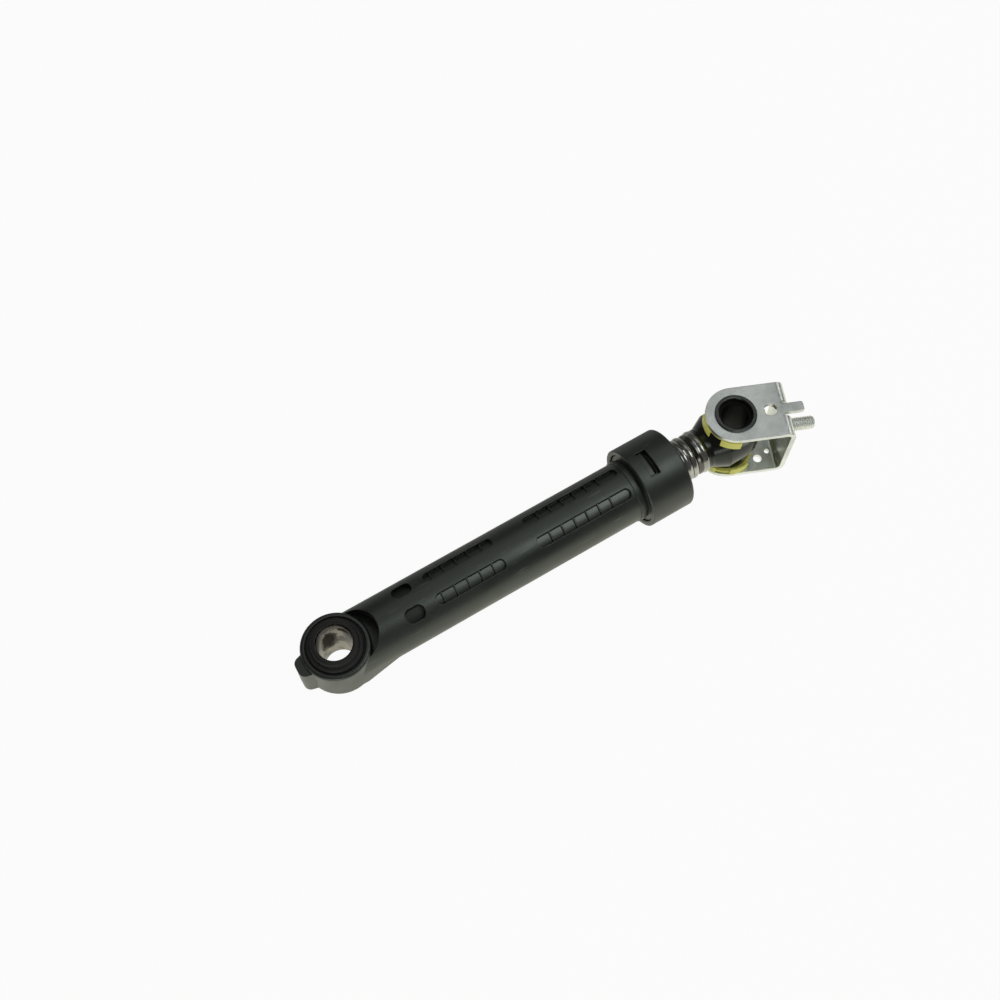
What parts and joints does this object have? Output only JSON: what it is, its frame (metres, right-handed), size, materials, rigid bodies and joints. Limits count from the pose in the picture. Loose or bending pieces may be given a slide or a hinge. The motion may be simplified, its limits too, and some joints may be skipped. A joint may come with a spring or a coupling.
{
  "type": "washing machine shock absorber",
  "caption": "Friction damper for a washing machine drum: moulded tube with a bushed eye, steel rod, snap cap and a folded pivoting bracket with a threaded stud.",
  "frame": {"origin": "middle of the lower eye's bore, half way along it", "axes": "+X along the damper from the lower eye to the rod eye, +Z along the eye's bore, up as it lies"},
  "size_m": [0.2448, 0.039, 0.036],
  "materials": {
    "housing": "moulded black, slight sheen",
    "cap": "moulded black",
    "bush_rubber": "black rubber",
    "sleeve_steel": "bright zinc plated",
    "guide": "natural moulding",
    "lining": "greased foam",
    "rod_steel": "drawn tube, zinc plated",
    "rod_eye": "moulded black",
    "washer": "pale yellow moulding",
    "pivot_bush": "moulded black",
    "pivot_steel": "dark drawn tube",
    "zinc_sheet": "zinc plated sheet",
    "stud_steel": "zinc plated"
  },
  "bodies": {
    "barrel": {"housing": "housing", "eye_bush": "bush_rubber", "eye_sleeve": "sleeve_steel", "end_cap": "cap"},
    "friction_set": {"inner_guide": "guide", "friction_lining": "lining", "outer_guide": "guide"},
    "plunger": {"rod_tube": "rod_steel", "rod_eye": "rod_eye", "washer_upper": "washer", "washer_lower": "washer"},
    "clevis": {"bracket": "zinc_sheet", "stud": "stud_steel", "pivot_bush_upper": "pivot_bush", "pivot_bush_lower": "pivot_bush", "pivot_sleeve": "pivot_steel"}
  },
  "joints": [
    {"name": "rod_swivel", "type": "hinge", "parent": "barrel", "child": "friction_set", "pos_m": [0.15, 0, 0], "axis": [1, 0, 0], "continuous": true},
    {"name": "rod_stroke", "type": "slide", "parent": "friction_set", "child": "plunger", "axis": [1, 0, 0], "range_m": [-0.0035, 0.08]},
    {"name": "bracket_pivot", "type": "hinge", "parent": "plunger", "child": "clevis", "pos_m": [0.1921, 0, 0], "axis": [0, 0, 1], "range_deg": [-92, 138]}
  ]
}
